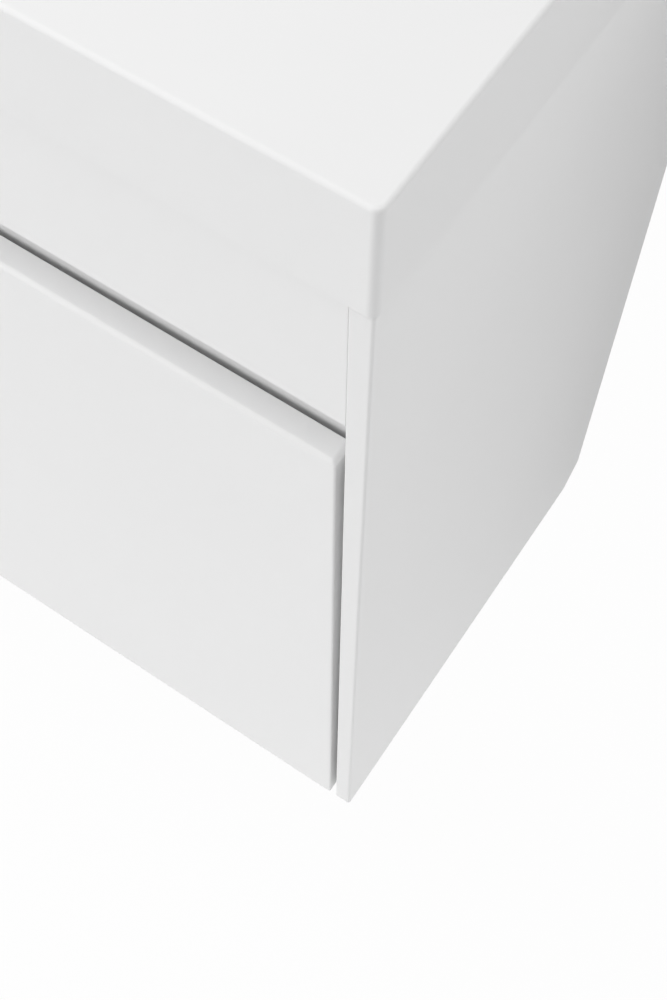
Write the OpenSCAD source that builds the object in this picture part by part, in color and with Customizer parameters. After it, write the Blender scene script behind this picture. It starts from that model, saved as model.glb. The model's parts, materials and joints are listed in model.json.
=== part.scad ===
// Wall hung vanity with a cast basin top and one tall drawer behind a finger recess.
// X runs to the right, Y towards the wall (wall plane at Y = 0), Z up.
// The origin is the centre of the wall fixing pattern.

/* [Overall] */
// Width over the basin top
overall_w = 800; // [700:10:1200]
// Height from the lower edge to the face of the top
overall_h = 650; // [600:5:760]
// Depth from the wall to the front of the top
overall_d = 300; // [300:5:360]
// Drop from the underside of the top to the wall fixings
fixing_drop = 50; // [48:1:60]

/* [Carcass boards] */
// Thickness of the lacquered boards
board_t = 10.5; // [10:0.5:12]
// Rounding of the side panels' outer front edge
board_r = 1.5; // [0.5:0.25:3]
// Depth of the clip at the lower rear corner of a side panel
clip_d = 16; // [8:1:16]
// Height of the clip at the lower rear corner of a side panel
clip_h = 20; // [8:1:30]
// Height of the bottom panel above the lower edge
bottom_raise = 6; // [3:1:12]
// Space between the back rails and the wall
wall_gap = 16; // [15:1:20]
// Height of the upper back rail
upper_rail_h = 100; // [90:5:140]
// Height of the lower back rail
lower_rail_h = 90; // [60:5:140]
// Width of the service notch in the upper back rail
notch_w = 140; // [100:5:200]
// Depth of the service notch in the upper back rail
notch_h = 40; // [30:5:50]

/* [Basin top] */
// Height of the visible edge of the top
top_h = 60; // [55:1:80]
// Overhang of the top beyond the side panels
top_overhang = 1; // [0:0.5:3]
// Rounding of the edges of the top
top_r = 2; // [1:0.5:3]
// Rounding of the top's upright front corners
top_corner_r = 4; // [3.5:0.5:6]
// Thickness of the deck
deck_t = 15; // [12:1:20]
// Thickness of the apron behind the visible edge
apron_t = 12; // [12:1:14]
// Width of the bowl
bowl_w = 480; // [400:10:500]
// Depth of the bowl from front to rear
bowl_d = 178; // [150:2:178]
// Depth of the bowl below the face of the top
bowl_depth = 95; // [85:1:110]
// Wall thickness of the bowl
bowl_wall = 10; // [8:1:10]
// Corner radius of the bowl
bowl_r = 38; // [30:1:50]
// Rounding of the bowl's rim
rim_r = 4; // [2:0.5:6]
// Radius between the bowl's walls and its floor
bowl_fillet = 24; // [15:1:30]
// Fall of the bowl's floor towards the waste
floor_fall = 3; // [2:0.5:5]
// Width of the deck between the bowl and the front edge
front_rim = 44; // [44:1:60]
// Diameter of the tap hole
tap_hole_d = 35; // [32:0.5:36]
// Distance of the tap hole from the wall
tap_setback = 38; // [37:0.5:39]

/* [Front] */
// Height of the fixed fascia panel
fascia_h = 88; // [70:1:110]
// Setback of the fascia panel behind the side panels
fascia_setback = 1; // [0:0.5:3]
// Joint at each end of the fascia panel
fascia_joint = 0.4; // [0.2:0.1:1]
// Height of the finger gap above the drawer front
finger_gap = 35; // [28:1:45]
// Thickness of the drawer front
front_t = 13; // [12:0.5:18]
// Rounding of the drawer front's edges
front_r = 3; // [1:0.5:4]
// Reveal between the drawer front and each side panel
reveal = 4.5; // [2:0.5:6]
// Gap between the drawer front and the rail behind it
recess_gap = 3; // [2.5:0.5:5]
// Overlap of the recess rail behind the drawer front
rail_overlap = 35; // [20:1:60]

/* [Drawer box] */
// Thickness of the drawer box boards
box_t = 12; // [12:0.5:15]
// Height of the drawer sides
box_h = 160; // [130:5:200]
// Height of the drawer back
box_back_h = 260; // [250:5:300]
// Clearance under the drawer box
box_lift = 6; // [4:1:12]
// Clearance between the drawer back and the back rails
box_rear_gap = 5.5; // [4:0.5:10]
// Thickness of the drawer bottom
tray_t = 8; // [6:0.5:9]
// Height of the drawer bottom above the drawer sides' lower edge
tray_lift = 10; // [8:1:15]
// Depth of the groove that holds the drawer bottom
groove_depth = 5; // [4:0.5:6]
// Diameter of the gallery rails
gallery_d = 10; // [8:0.5:12]
// Height of the gallery rails above the drawer sides' lower edge
gallery_lift = 235; // [200:5:235]
// Distance of the gallery rails from the drawer sides' inner faces
gallery_inset = 15; // [12:1:20]
// Length of the gallery rail sockets
socket_l = 14; // [12:1:20]

/* [Runners] */
// Space between a runner's rear end and the back rails
runner_rear_gap = 7.5; // [6:0.5:12]
// Thickness of a runner over all its members
runner_t = 12.7; // [12.7:0.1:13.5]
// Height of a runner
runner_h = 45.4; // [44:0.2:50]
// Thickness of the runners' steel sheet
runner_sheet = 1.2; // [1:0.1:1.3]
// Height of the runners above the drawer sides' lower edge
runner_lift = 70; // [60:1:90]
// Diameter of the runner balls
ball_d = 4; // [3.5:0.1:4]
// Play of a ball in its race
ball_play = 0.2; // [0.15:0.05:0.3]
// Length of a ball cage as a share of the runner
cage_share = 0.44; // [0.3:0.02:0.45]
// Thickness of a ball cage
cage_t = 0.6; // [0.5:0.1:0.6]
// Distance between the balls in a cage
ball_pitch = 18; // [10:1:25]

/* [Waste] */
// Diameter of the waste hole in the basin
waste_hole_d = 45; // [44:0.5:47]
// Outer diameter of the waste tube
waste_tube_d = 41.9; // [40:0.1:42]
// Inner diameter of the waste tube
waste_bore_d = 35; // [32:0.5:37]
// Diameter of the waste flange
waste_flange_d = 63; // [58:1:66]
// Thickness of the waste flange
waste_flange_t = 2.5; // [2:0.5:3]
// Length of the waste tube below the flange
waste_tube_l = 80; // [75:1:110]
// Thickness of the basin where the waste is clamped
clamp_t = 24; // [22:1:28]
// Travel of the plug
plug_travel = 8; // [5:0.5:9]
// Diameter of the plug's cap
plug_d = 60; // [54:1:62]
// Diameter of the plug's stem
stem_d = 8; // [6:0.5:9]
// Diameter of the overflow hole
overflow_d = 22; // [18:0.5:24]
// Depth of the overflow hole's centre below the face of the top
overflow_drop = 32; // [30:1:38]

/* [Wall hanging] */
// Width of a hanger body
hanger_w = 20; // [18:1:24]
// Depth of a hanger body
hanger_d = 60; // [50:1:70]
// Height of a hanger body
hanger_h = 58; // [54:1:60]
// Width of a wall plate
plate_w = 46; // [40:1:60]
// Height of a wall plate
plate_h = 52; // [48:1:60]
// Thickness of a wall plate's steel
plate_t = 2.5; // [2:0.5:3]
// Diameter of the holes in a wall plate
plate_hole_d = 7; // [6:0.5:8]
// Vertical distance between the holes in a wall plate
plate_hole_pitch = 32; // [25:1:32]
// Reach of a wall plate's shelf from the wall
plate_reach = 12; // [11:0.5:13]
// Width of a hook
hook_w = 6; // [5:0.5:8]

/* [Fixings] */
// Diameter of the dowels
dowel_d = 6; // [5:0.5:6]
// Depth of a dowel in the board that it stands on
dowel_in = 7; // [5:0.5:8]
// Length of a dowel in the board's end
dowel_out = 18; // [12:1:22]
// Diameter of a cam lock
cam_d = 12; // [10:0.5:14]
// Thickness of a cam lock
cam_t = 8; // [7:0.5:8.5]
// Distance of a cam lock from the board's end
cam_inset = 24; // [20:1:30]
// Diameter of a cam bolt
cam_bolt_d = 5; // [4:0.5:6]
// Diameter of the wood screws
screw_d = 4; // [3:0.5:4.5]
// Diameter of the screw heads
screw_head_d = 7; // [6:0.5:8]
// Thickness of the screw heads
screw_head_t = 2; // [1.5:0.5:2.5]
// Clearance round a screw or a dowel
fixing_fit = 0.05; // [0.03:0.01:0.1]
// Thickness of the steel of the top brackets
bracket_t = 2; // [1.5:0.5:3]
// Length of a leg of a top bracket
bracket_leg = 22; // [18:1:28]
// Width of a top bracket
bracket_w = 24; // [18:1:30]
// Diameter of a bumper pad
bumper_d = 8; // [6:0.5:10]

/* [Hidden] */

$fn = 48;
LACQUER = [0.93, 0.93, 0.93];
CAST = [0.95, 0.95, 0.95];
STEEL = [0.72, 0.73, 0.75];
CHROME = [0.82, 0.84, 0.86];
RUBBER = [0.15, 0.15, 0.16];
TIMBER = [0.80, 0.66, 0.46];
PLASTIC = [0.80, 0.81, 0.82];
BRASS = [0.78, 0.63, 0.32];
CUT = 1; // overshoot of a cutting form beyond the face that it opens
ROOT = 1; // depth to which a form runs into the one that carries it

// Levels
z_slab = fixing_drop;
z_top = z_slab + top_h;
z_low = z_top - overall_h;
z_fascia = z_slab - fascia_h;
z_front_top = z_fascia - finger_gap;
z_bottom = z_low + bottom_raise;
z_floor = z_bottom + board_t;
z_box = z_floor + box_lift;
z_runner = z_box + runner_lift;
z_gallery = z_box + gallery_lift;
z_tray = z_box + tray_lift;

// Planes across the width, on the right-hand side
x_out = overall_w / 2 - top_overhang;
x_in = x_out - board_t;
x_box = x_in - runner_t;
x_box_in = x_box - box_t;
x_gallery = x_box_in - gallery_inset;

// Planes from front to rear
y_edge = -overall_d;
y_front = y_edge + top_overhang;
y_fascia = y_front + fascia_setback;
y_front_back = y_front + front_t;
y_recess = y_front_back + recess_gap;
y_rail_back = y_recess + board_t;
y_back = -wall_gap;
y_back_front = y_back - board_t;
y_box_back = y_back_front - box_rear_gap;
runner_setback = 2;
y_runner = y_front_back + runner_setback;
runner_l = y_back_front - runner_rear_gap - y_runner;

// ---------- shared forms ----------

// Box between two corners
module block(low, high) {
    translate(low) cube(high - low);
}

// Corner of a rectangle that a radius takes off, with the corner at the origin
module corner_waste(r) {
    difference() {
        translate([-CUT, -CUT]) square(r + CUT);
        translate([r, r]) circle(r);
    }
}

// Rectangle from the origin with r_low at its two lower corners and r_high at its upper ones
module soft_rect(w, h, r_low, r_high) {
    difference() {
        square([w, h]);
        if (r_low > 0) {
            corner_waste(r_low);
            translate([w, 0]) mirror([1, 0]) corner_waste(r_low);
        }
        if (r_high > 0) {
            translate([0, h]) mirror([0, 1]) corner_waste(r_high);
            translate([w, h]) mirror([1, 0]) mirror([0, 1]) corner_waste(r_high);
        }
    }
}

// Extrudes a plan, a side view or a front view of a piece through its other size
module along_z(z0, z1) {
    translate([0, 0, z0]) linear_extrude(z1 - z0) children();
}
module along_x(x0, x1) {
    translate([x0, 0, 0]) rotate([90, 0, 90]) linear_extrude(x1 - x0) children();
}
module along_y(y0, y1) {
    translate([0, y1, 0]) rotate([90, 0, 0]) linear_extrude(y1 - y0) children();
}

// Turns a piece that stands on Z so that it points along +X, +Y or -Y
module to_x() {
    rotate([0, 90, 0]) children();
}
module to_y() {
    rotate([-90, 0, 0]) children();
}
module to_front() {
    rotate([90, 0, 0]) children();
}

// Places a right-hand piece, or its mirror image on the left
module on_side(side) {
    mirror([side < 0 ? 1 : 0, 0, 0]) children();
}

// Ring round Z between two heights
module ring(d_out, d_in, z0, z1) {
    translate([0, 0, z0]) difference() {
        cylinder(d = d_out, h = z1 - z0);
        translate([0, 0, -CUT]) cylinder(d = d_in, h = z1 - z0 + 2 * CUT);
    }
}

// Pan head screw: head above Z = 0, shank below it; fit widens the shank for its hole
module pan_screw(l, fit = 0) {
    translate([0, 0, -l]) cylinder(d = screw_d + 2 * fit, h = l);
    cylinder(d = screw_head_d, h = screw_head_t);
}
module screw_hole(l) {
    translate([0, 0, -l - fixing_fit]) cylinder(d = screw_d + 2 * fixing_fit, h = l + CUT);
}

// ---------- carcass joints ----------
// Each joint point is [y, z] on the inner face of the right side panel.

y_rail_mid = (y_recess + y_rail_back) / 2;
y_back_mid = (y_back + y_back_front) / 2;
z_bottom_mid = z_bottom + board_t / 2;
lower_rail_top = z_floor + lower_rail_h;
upper_rail_low = z_slab - upper_rail_h;
recess_low = z_front_top - rail_overlap;
panel_l = y_back - y_recess;
recess_h = z_slab - recess_low;

dowels_bottom = [for (k = [0.2, 0.8]) [y_recess + k * panel_l, z_bottom_mid]];
dowels_lower = [for (k = [0.2, 0.8]) [y_back_mid, z_floor + k * lower_rail_h]];
dowels_upper = [for (k = [0.12, 0.55]) [y_back_mid, upper_rail_low + k * upper_rail_h]];
dowels_recess = [for (k = [0.15, 0.85]) [y_rail_mid, recess_low + k * recess_h]];

cam_bottom = [y_recess + 0.5 * panel_l, z_bottom_mid];
cam_lower = [y_back_mid, z_floor + 0.5 * lower_rail_h];
cam_upper = [y_back_mid, upper_rail_low + 0.32 * upper_rail_h];
cam_recess = [y_rail_mid, recess_low + 0.5 * recess_h];

// Dowels at the given joint points, on both sides
module dowel_forms(points, fit = 0) {
    for (side = [-1, 1], p = points) on_side(side)
        translate([x_in - dowel_out - fit, p[0], p[1]]) to_x()
            cylinder(d = dowel_d + 2 * fit, h = dowel_out + dowel_in + 2 * fit);
}

// Cam bolts at one joint point, on both sides
module cam_bolt_forms(p, fit = 0) {
    for (side = [-1, 1]) on_side(side)
        translate([x_in - cam_inset - fit, p[0], p[1]]) to_x()
            cylinder(d = cam_bolt_d + 2 * fit, h = cam_inset + dowel_in + 2 * fit);
}

// Cam lock of a board that stands in the X-Z plane, let in from the face at y, towards dir
module cam_in_rail(p, y, dir, fit = 0) {
    for (side = [-1, 1]) on_side(side)
        translate([x_in - cam_inset, y, p[1]]) rotate([-90 * dir, 0, 0])
            translate([0, 0, fit > 0 ? -CUT : 0])
                cylinder(d = cam_d + 2 * fit, h = cam_t + (fit > 0 ? CUT + fit : 0));
}

// Cam lock of the bottom panel, let in from below
module cam_in_bottom(fit = 0) {
    for (side = [-1, 1]) on_side(side)
        translate([x_in - cam_inset, cam_bottom[0], z_bottom - (fit > 0 ? CUT : 0)])
            cylinder(d = cam_d + 2 * fit, h = cam_t + (fit > 0 ? CUT + fit : 0));
}

// ---------- basin top ----------

bowl_front = y_edge + front_rim;
bowl_rear = bowl_front + bowl_d;
bowl_mid = (bowl_front + bowl_rear) / 2;
z_seat = z_top - bowl_depth;
z_clamp = z_seat - clamp_t;
seat_margin = 4;
seat_r = waste_flange_d / 2 + seat_margin;
dish_run = 30;
duct_w = 44;
duct_wall = 6;
duct_start = 8;
channel_w = 30;
channel_d = 7;
channel_h = 9;
duct_front_wall = 2;
boss_wall = 11;
boss_r = waste_hole_d / 2 + boss_wall;
pad_x = 0.4 * overall_w;
pad_d = 34;
dish_over = 0.5;

// Side view of the bowl out to its wall at w: f rounds its foot, rim its upper edge
module bowl_profile(w, f, h, rim) difference() {
    union() {
        square([w, h]);
        if (rim > 0) translate([0, h - CUT - rim]) square([w + rim, rim + CUT]);
    }
    translate([w, 0]) mirror([1, 0]) corner_waste(f);
    if (rim > 0) translate([w + rim, h - CUT - rim]) circle(rim);
}

// Bowl with upright walls, rounded corners and a rounded foot; grow adds to it all round
module bowl_form(grow, z_rim, rim = 0) {
    r = bowl_r + grow;
    f = bowl_fillet + grow;
    foot = z_seat + floor_fall - grow;
    h = z_rim - foot;
    dx = bowl_w / 2 - bowl_r;
    dy = bowl_d / 2 - bowl_r;
    translate([0, bowl_mid, 0]) {
        along_x(-dx, dx) for (half = [0, 1]) mirror([half, 0]) translate([0, foot])
            bowl_profile(dy + r, f, h, rim);
        for (side = [-1, 1]) on_side(side) {
            along_y(-dy, dy) translate([dx, foot]) bowl_profile(r, f, h, rim);
            translate([dx, dy, foot]) rotate_extrude(angle = 90) bowl_profile(r, f, h, rim);
            translate([dx, -dy, foot]) rotate([0, 0, -90])
                rotate_extrude(angle = 90) bowl_profile(r, f, h, rim);
        }
    }
}

// Dish in the bowl's floor that falls to the flat seat of the waste
module dish_form() {
    translate([0, bowl_mid, z_seat])
        cylinder(r1 = seat_r, r2 = seat_r + dish_run, h = floor_fall + dish_over);
}

// Side view of the slab out to its edge at w, with its upper edge rounded
module slab_profile(w) difference() {
    square([w, top_h]);
    translate([w, top_h]) rotate(180) corner_waste(top_r);
}

// Slab whose rounded upper edge goes round its rounded front corners
module slab_form() {
    r = top_corner_r;
    dx = overall_w / 2 - r;
    along_x(-dx, dx) translate([0, z_slab]) mirror([1, 0]) slab_profile(-y_edge);
    for (side = [-1, 1]) on_side(side) {
        along_y(y_edge + r, 0) translate([dx, z_slab]) slab_profile(r);
        translate([dx, y_edge + r, z_slab]) rotate([0, 0, -90])
            rotate_extrude(angle = 90) slab_profile(r);
    }
}

module basin_top() color(CAST) {
    duct_rear = bowl_rear + bowl_wall + duct_wall + channel_d - duct_front_wall;
    channel_rear = duct_rear - duct_wall + duct_front_wall;
    z_deck = z_top - deck_t;
    z_root = z_top - deck_t / 2;
    z_channel = z_clamp + duct_wall - duct_front_wall;
    difference() {
        union() {
            difference() {
                slab_form();
                block([-overall_w / 2 + apron_t, y_edge + apron_t, z_slab - CUT],
                      [overall_w / 2 - apron_t, -apron_t, z_deck]);
            }
            bowl_form(bowl_wall, z_root);
            // Overflow duct down the rear wall and under the floor
            block([-duct_w / 2, bowl_rear + bowl_wall / 2, z_clamp],
                  [duct_w / 2, duct_rear, z_root]);
            block([-duct_w / 2, bowl_mid + duct_start, z_clamp],
                  [duct_w / 2, duct_rear, z_seat - bowl_wall / 2]);
            // Boss that the waste is clamped to
            translate([0, bowl_mid, z_clamp]) cylinder(r = boss_r, h = clamp_t - ROOT);
            // Pads that the brackets are screwed to
            for (side = [-1, 1], y = [y_rail_back, y_back_front - pad_d])
                block([side * pad_x - bracket_w / 2, y, z_slab + bracket_t],
                      [side * pad_x + bracket_w / 2, y + pad_d, z_root]);
        }
        bowl_form(0, z_top + CUT, rim_r);
        dish_form();
        translate([0, bowl_mid, z_clamp - CUT])
            cylinder(d = waste_hole_d, h = clamp_t + 2 * CUT);
        translate([0, -tap_setback, z_deck - CUT])
            cylinder(d = tap_hole_d, h = deck_t + 2 * CUT);
        translate([0, bowl_rear - CUT, z_top - overflow_drop]) to_y()
            cylinder(d = overflow_d, h = channel_rear - bowl_rear + CUT);
        block([-channel_w / 2, channel_rear - channel_d, z_channel],
              [channel_w / 2, channel_rear, z_top - overflow_drop + overflow_d / 2]);
        block([-channel_w / 2, bowl_mid + duct_start, z_channel],
              [channel_w / 2, channel_rear, z_channel + channel_h]);
        for (side = [-1, 1], y = bracket_screw_y)
            translate([side * pad_x, y, z_slab]) mirror([0, 0, 1]) screw_hole(pad_screw_l);
    }
}

ring_lip = 4;
ring_t = 2;
ring_wall = 2;
ring_fit = 0.2;

module overflow_ring() color(CHROME) {
    tube_d = overflow_d - 2 * ring_fit;
    tube_l = bowl_wall - ring_t / 2;
    translate([0, bowl_rear, z_top - overflow_drop]) to_front() {
        ring(overflow_d + 2 * ring_lip, tube_d - 2 * ring_wall, 0, ring_t);
        ring(tube_d, tube_d - 2 * ring_wall, -tube_l, ring_t / 2);
    }
}

// ---------- waste ----------

seal_t = 1.5;
z_flange = z_seat + seal_t;
z_flange_top = z_flange + waste_flange_t;
waste_fit = 0.1;
spider_t = 3;
spider_w = 8;
spider_drop = 8;
z_spider = z_clamp - spider_drop;
cartridge_d = 15;
cartridge_h = 24;
stem_fit = 0.1;
cap_t = 4;
cap_edge = 1;
plug_lift = 0.3;
gasket_h = 3;
gasket_fit = 0.3;
nut_t = 9;
nut_w = 12;
lower_seal_t = 4;
z_cap = z_flange_top + plug_lift + plug_travel;
window_w = 14;
window_rise = 4;
flange_inset = 0.5;
nut_corner = 2;

module waste_place() {
    translate([0, bowl_mid, 0]) children();
}

module waste_body() color(CHROME) waste_place() {
    z_tail = z_flange_top - waste_flange_t - waste_tube_l;
    difference() {
        union() {
            ring(waste_flange_d, waste_bore_d, z_flange, z_flange_top);
            ring(waste_tube_d, waste_bore_d, z_tail, z_flange + ROOT);
            block([-waste_bore_d / 2 - ROOT, -spider_w / 2, z_spider],
                  [waste_bore_d / 2 + ROOT, spider_w / 2, z_spider + spider_t]);
        }
        // Windows that let the overflow in
        block([-window_w / 2, -waste_tube_d, z_clamp + window_rise],
              [window_w / 2, waste_tube_d, z_clamp + window_rise + channel_h]);
    }
}

module waste_seal_upper() color(RUBBER) waste_place()
    ring(waste_flange_d - 2 * flange_inset, waste_tube_d + 2 * waste_fit, z_seat, z_flange);

module waste_seal_lower() color(RUBBER) waste_place()
    ring(waste_tube_d + nut_w, waste_tube_d + 2 * waste_fit, z_clamp - lower_seal_t, z_clamp);

module waste_nut() color(BRASS) waste_place() {
    z_nut = z_clamp - lower_seal_t - nut_t;
    difference() {
        translate([0, 0, z_nut])
            cylinder(d = waste_tube_d + nut_w + 2 * nut_corner, h = nut_t, $fn = 8);
        translate([0, 0, z_nut - CUT])
            cylinder(d = waste_tube_d + 2 * waste_fit, h = nut_t + 2 * CUT);
    }
}

module plug_cartridge() color(BRASS) waste_place() {
    z_foot = z_spider + spider_t;
    ring(cartridge_d, stem_d + 2 * stem_fit, z_foot, z_foot + cartridge_h);
}

module waste_plug() color(CHROME) waste_place() {
    z_stem = z_spider + spider_t + plug_travel + plug_lift;
    translate([0, 0, z_cap]) cylinder(d = plug_d, h = cap_t - cap_edge);
    translate([0, 0, z_cap + cap_t - cap_edge])
        cylinder(d1 = plug_d, d2 = plug_d - 3 * cap_edge, h = cap_edge);
    translate([0, 0, z_stem]) cylinder(d = stem_d, h = z_cap + ROOT - z_stem);
}

module plug_gasket() color(RUBBER) waste_place()
    ring(waste_bore_d - 2 * gasket_fit, stem_d + 2 * stem_fit, z_cap - gasket_h, z_cap);

// ---------- carcass ----------

screw_rows_runner = [for (k = [0.08, 0.5, 0.92]) y_runner + k * runner_l];
hanger_screw_y = [for (k = [0.3, 0.75]) y_back_front - k * hanger_d];
hanger_screw_in = 7;
runner_screw_in = 8;
x_hanger = x_in - hanger_w;
hanger_clear = 6;
hanger_screw_rise = 18;
z_hanger_top = fixing_drop - hanger_clear;
z_hanger_screw = z_hanger_top - hanger_h + hanger_screw_rise;

// Right-hand side panel; its joint holes are cut from the inner face
module side_panel() color(LACQUER) difference() {
    intersection() {
        along_z(z_low, z_slab) difference() {
            translate([x_in, y_front]) square([board_t, -y_front]);
            translate([x_out, y_front]) mirror([1, 0]) corner_waste(board_r);
        }
        along_x(x_in, x_out) polygon([
            [y_front, z_low], [-clip_d, z_low], [0, z_low + clip_h], [0, z_slab], [y_front, z_slab]
        ]);
    }
    dowel_forms(concat(dowels_bottom, dowels_lower, dowels_upper, dowels_recess), fixing_fit);
    for (p = [cam_bottom, cam_lower, cam_upper, cam_recess]) cam_bolt_forms(p, fixing_fit);
    for (y = screw_rows_runner) translate([x_in, y, z_runner]) rotate([0, -90, 0])
        screw_hole(runner_screw_in);
    for (y = hanger_screw_y) translate([x_in, y, z_hanger_screw]) rotate([0, -90, 0])
        screw_hole(hanger_screw_in);
}
module side_panel_right() side_panel();
module side_panel_left() on_side(-1) side_panel();

module bottom_panel() color(LACQUER) difference() {
    block([-x_in, y_recess, z_bottom], [x_in, y_back, z_floor]);
    dowel_forms(dowels_bottom, fixing_fit);
    cam_bolt_forms(cam_bottom, fixing_fit);
    cam_in_bottom(fixing_fit);
}

module upper_back_rail() color(LACQUER) difference() {
    block([-x_in, y_back_front, upper_rail_low], [x_in, y_back, z_slab]);
    block([-notch_w / 2, y_back_front - CUT, z_slab - notch_h],
          [notch_w / 2, y_back + CUT, z_slab + CUT]);
    dowel_forms(dowels_upper, fixing_fit);
    cam_bolt_forms(cam_upper, fixing_fit);
    cam_in_rail(cam_upper, y_back_front, 1, fixing_fit);
    for (side = [-1, 1]) on_side(side) {
        block([x_hook - hook_w / 2 - hook_clear, y_back_front - CUT, z_hook - hook_clear],
              [x_hook + hook_w / 2 + hook_clear, y_back + CUT, z_hook + hook_h + hook_clear]);
        translate([pad_x, y_back_front, z_bracket_screw]) to_front()
            screw_hole(rail_screw_l);
    }
}

module lower_back_rail() color(LACQUER) difference() {
    block([-x_in, y_back_front, z_floor], [x_in, y_back, lower_rail_top]);
    dowel_forms(dowels_lower, fixing_fit);
    cam_bolt_forms(cam_lower, fixing_fit);
    cam_in_rail(cam_lower, y_back_front, 1, fixing_fit);
}

screw_in = 9;
fascia_screw_x = [for (k = [-3, -1, 1, 3]) k * overall_w / 8];
fascia_screw_rise = 18;
z_fascia_screw = z_fascia + fascia_screw_rise;
fascia_screw_l = board_t + screw_in;

module recess_rail() color(LACQUER) difference() {
    block([-x_in, y_recess, recess_low], [x_in, y_rail_back, z_slab]);
    dowel_forms(dowels_recess, fixing_fit);
    cam_bolt_forms(cam_recess, fixing_fit);
    cam_in_rail(cam_recess, y_rail_back, -1, fixing_fit);
    fascia_screw_places() screw_hole(fascia_screw_l);
    for (side = [-1, 1]) translate([side * pad_x, y_rail_back, z_bracket_screw]) to_y()
        screw_hole(rail_screw_l);
}

module fascia_panel() color(LACQUER) difference() {
    block([-x_in + fascia_joint, y_fascia, z_fascia], [x_in - fascia_joint, y_recess, z_slab]);
    fascia_screw_places() screw_hole(fascia_screw_l);
}

module fascia_screw_places() {
    for (x = fascia_screw_x) translate([x, y_rail_back, z_fascia_screw]) to_y() children();
}

module fascia_screws() color(STEEL) fascia_screw_places() pan_screw(fascia_screw_l);

module carcass_dowels() color(TIMBER)
    dowel_forms(concat(dowels_bottom, dowels_lower, dowels_upper, dowels_recess));

module cam_bolts() color(STEEL)
    for (p = [cam_bottom, cam_lower, cam_upper, cam_recess]) cam_bolt_forms(p);

module cam_locks() color(STEEL) difference() {
    union() {
        cam_in_bottom();
        cam_in_rail(cam_lower, y_back_front, 1);
        cam_in_rail(cam_upper, y_back_front, 1);
        cam_in_rail(cam_recess, y_rail_back, -1);
    }
    for (p = [cam_bottom, cam_lower, cam_upper, cam_recess]) cam_bolt_forms(p, fixing_fit);
}

// Angle brackets that hold the top: one leg on a rail, one under a pad of the top
bracket_hole_inset = 11;
bracket_screw_y = [y_rail_back + bracket_hole_inset, y_back_front - bracket_hole_inset];
z_bracket_screw = z_slab - bracket_hole_inset;
pad_screw_l = 16;
rail_screw_l = 8;

module top_brackets() color(STEEL) difference() {
    for (side = [-1, 1]) {
        block([side * pad_x - bracket_w / 2, y_rail_back, z_slab],
              [side * pad_x + bracket_w / 2, y_rail_back + bracket_leg, z_slab + bracket_t]);
        block([side * pad_x - bracket_w / 2, y_rail_back, z_slab + bracket_t - bracket_leg],
              [side * pad_x + bracket_w / 2, y_rail_back + bracket_t, z_slab + bracket_t]);
        block([side * pad_x - bracket_w / 2, y_back_front - bracket_leg, z_slab],
              [side * pad_x + bracket_w / 2, y_back_front, z_slab + bracket_t]);
        block([side * pad_x - bracket_w / 2, y_back_front - bracket_t,
               z_slab + bracket_t - bracket_leg],
              [side * pad_x + bracket_w / 2, y_back_front, z_slab + bracket_t]);
    }
    bracket_screw_places() screw_hole(pad_screw_l);
}

module bracket_screw_places() {
    for (side = [-1, 1]) {
        for (y = bracket_screw_y)
            translate([side * pad_x, y, z_slab]) mirror([0, 0, 1]) children();
        translate([side * pad_x, y_rail_back + bracket_t, z_bracket_screw]) to_y() children();
        translate([side * pad_x, y_back_front - bracket_t, z_bracket_screw]) to_front()
            children();
    }
}

module bracket_screws() color(STEEL) bracket_screw_places() pan_screw(rail_screw_l);

bumper_inset = 50;
module bumper_pads() color(RUBBER)
    for (side = [-1, 1], z = [z_front_top - rail_overlap / 2, z_bottom_mid])
        translate([side * (x_in - bumper_inset), y_front_back, z]) to_y()
            cylinder(d = bumper_d, h = recess_gap);

// ---------- wall hanging ----------

x_hook = x_in - hanger_w / 2;
plate_inset = 2.5;
x_plate = x_in - plate_inset - plate_w / 2;
z_shelf = plate_h / 2 - plate_t;
lip_h = 10.5;
z_hook = z_shelf + lip_h;
hook_h = 6;
hook_tip = 4.5;
hook_drop = 7;
hook_reach = 44;
y_hook_front = y_back_front - hook_reach;
slot_fit = 0.3;
hook_clear = 2;

// Steel plate on the wall with a shelf and an upturned lip
module wall_plate() color(STEEL) difference() {
    union() {
        block([x_plate - plate_w / 2, -plate_t, -plate_h / 2],
              [x_plate + plate_w / 2, 0, plate_h / 2]);
        block([x_plate - plate_w / 2, -plate_reach, z_shelf],
              [x_plate + plate_w / 2, 0, plate_h / 2]);
        block([x_plate - plate_w / 2, -plate_reach, z_shelf],
              [x_plate + plate_w / 2, -plate_reach + plate_t, z_hook]);
    }
    for (k = [-1, 1]) translate([x_plate, CUT, k * plate_hole_pitch / 2]) to_front()
        cylinder(d = plate_hole_d, h = plate_t + 2 * CUT);
}
module wall_plate_right() wall_plate();
module wall_plate_left() on_side(-1) wall_plate();

// Steel hook that hangs over the lip
module hanger_hook() color(STEEL) {
    x0 = x_hook - hook_w / 2;
    x1 = x_hook + hook_w / 2;
    y_tip = -plate_reach + plate_t + slot_fit;
    block([x0, y_hook_front, z_hook], [x1, y_tip + hook_tip, z_hook + hook_h]);
    block([x0, y_tip, z_hook - hook_drop], [x1, y_tip + hook_tip, z_hook + hook_h]);
}
module hanger_hook_right() hanger_hook();
module hanger_hook_left() on_side(-1) hanger_hook();

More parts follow.
